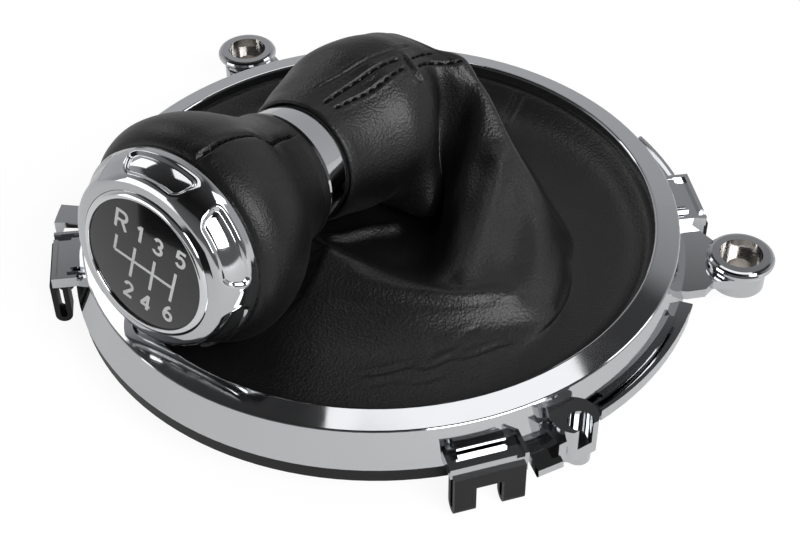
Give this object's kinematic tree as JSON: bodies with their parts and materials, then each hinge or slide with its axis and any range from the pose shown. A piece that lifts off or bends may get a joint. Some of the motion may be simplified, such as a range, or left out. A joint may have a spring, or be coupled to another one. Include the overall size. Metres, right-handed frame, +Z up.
{
  "type": "gear shift knob with gaiter and bezel",
  "caption": "Gear shift knob with a chrome cap, leather grip and lift collar, sewn to a leather gaiter held in a round chrome bezel with screw lugs and snap clips.",
  "frame": {"origin": "centre of the round bezel in the plane of its seat, the underside of the black gaiter frame", "axes": "+Z up, out of the console and square to the seat; +X to the right in the picture; +Y away from the camera"},
  "size_m": [0.1872, 0.1769, 0.0696],
  "materials": {
    "bezel_chrome": "mirror plated plastic",
    "cap_chrome": "mirror plated plastic",
    "satin_chrome": "satin plated plastic",
    "black_plastic": "matte moulded",
    "clip_plastic": "semi-matte moulded",
    "core_plastic": "matte moulded",
    "liner_plastic": "natural moulded",
    "bush_steel": "turned, passivated",
    "spring_steel": "drawn wire",
    "gaiter_leather": "fine grain, semi-matte",
    "grip_leather": "fine grain, semi-gloss",
    "dial_gloss": "gloss with printed shift pattern"
  },
  "bodies": {
    "bezel": {"bezel_ring": "bezel_chrome", "gaiter_frame": "black_plastic", "clip_front": "clip_plastic", "clip_left": "clip_plastic", "clip_right": "clip_plastic", "clip_rear": "clip_plastic", "lug_bushes": "bush_steel", "gaiter": "gaiter_leather", "gaiter_sleeve": "gaiter_leather"},
    "knob": {"neck_tie": "black_plastic", "neck_ring": "black_plastic", "circlip": "spring_steel", "knob_core": "core_plastic", "lever_liner": "liner_plastic", "grip_shell": "core_plastic", "grip_leather": "grip_leather", "knob_cap": "cap_chrome", "dial_ring": "satin_chrome", "dial_disc": "dial_gloss", "return_spring": "spring_steel"},
    "collar": {"lift_collar": "cap_chrome", "lift_sleeve": "black_plastic"}
  },
  "joints": [
    {"name": "knob_raise", "type": "hinge", "parent": "bezel", "child": "knob", "pos_m": [-0.01126, 0.01216, 0.03695], "axis": [-0.8192, 0.5736, 0], "range_deg": [0, 81.7], "deforming": ["gaiter_sleeve"]},
    {"name": "collar_lift", "type": "slide", "parent": "knob", "child": "collar", "axis": [-0.5676, -0.8106, 0.1444], "range_m": [0, 0.006], "stiffness_N_per_m": 300, "springref_m": -0.003, "deforming": ["return_spring"]}
  ]
}
